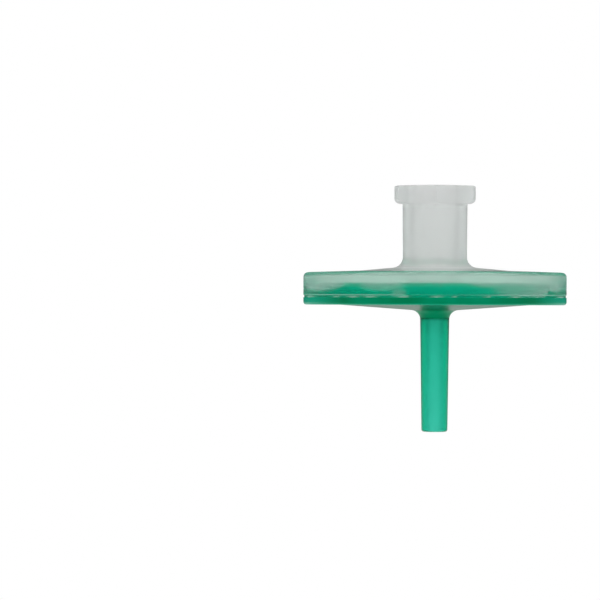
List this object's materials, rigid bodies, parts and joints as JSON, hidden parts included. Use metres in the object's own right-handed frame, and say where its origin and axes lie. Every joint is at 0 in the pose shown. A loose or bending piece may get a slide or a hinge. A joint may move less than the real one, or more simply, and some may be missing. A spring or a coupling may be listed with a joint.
{
  "type": "syringe filter",
  "caption": "Round welded disc filter with a Luer-lock socket on one face and a slim tapered outlet nozzle on the other, translucent shells round a white membrane.",
  "frame": {"origin": "centre of the Luer socket's mouth, where a syringe holds the filter", "axes": "+Z along the flow axis, out of the socket's mouth and away from the nozzle; the two locking lugs lie along X"},
  "size_m": [0.0252, 0.0252, 0.0236],
  "materials": {
    "natural_polypropylene": "uncoloured translucent moulded polypropylene, milky, softly glossy",
    "green_polypropylene": "green translucent moulded polypropylene, softly glossy",
    "membrane_white": "white microporous membrane, matte"
  },
  "bodies": {
    "root": {"inlet_shell": "natural_polypropylene", "membrane": "membrane_white", "outlet_shell": "green_polypropylene"}
  },
  "joints": []
}
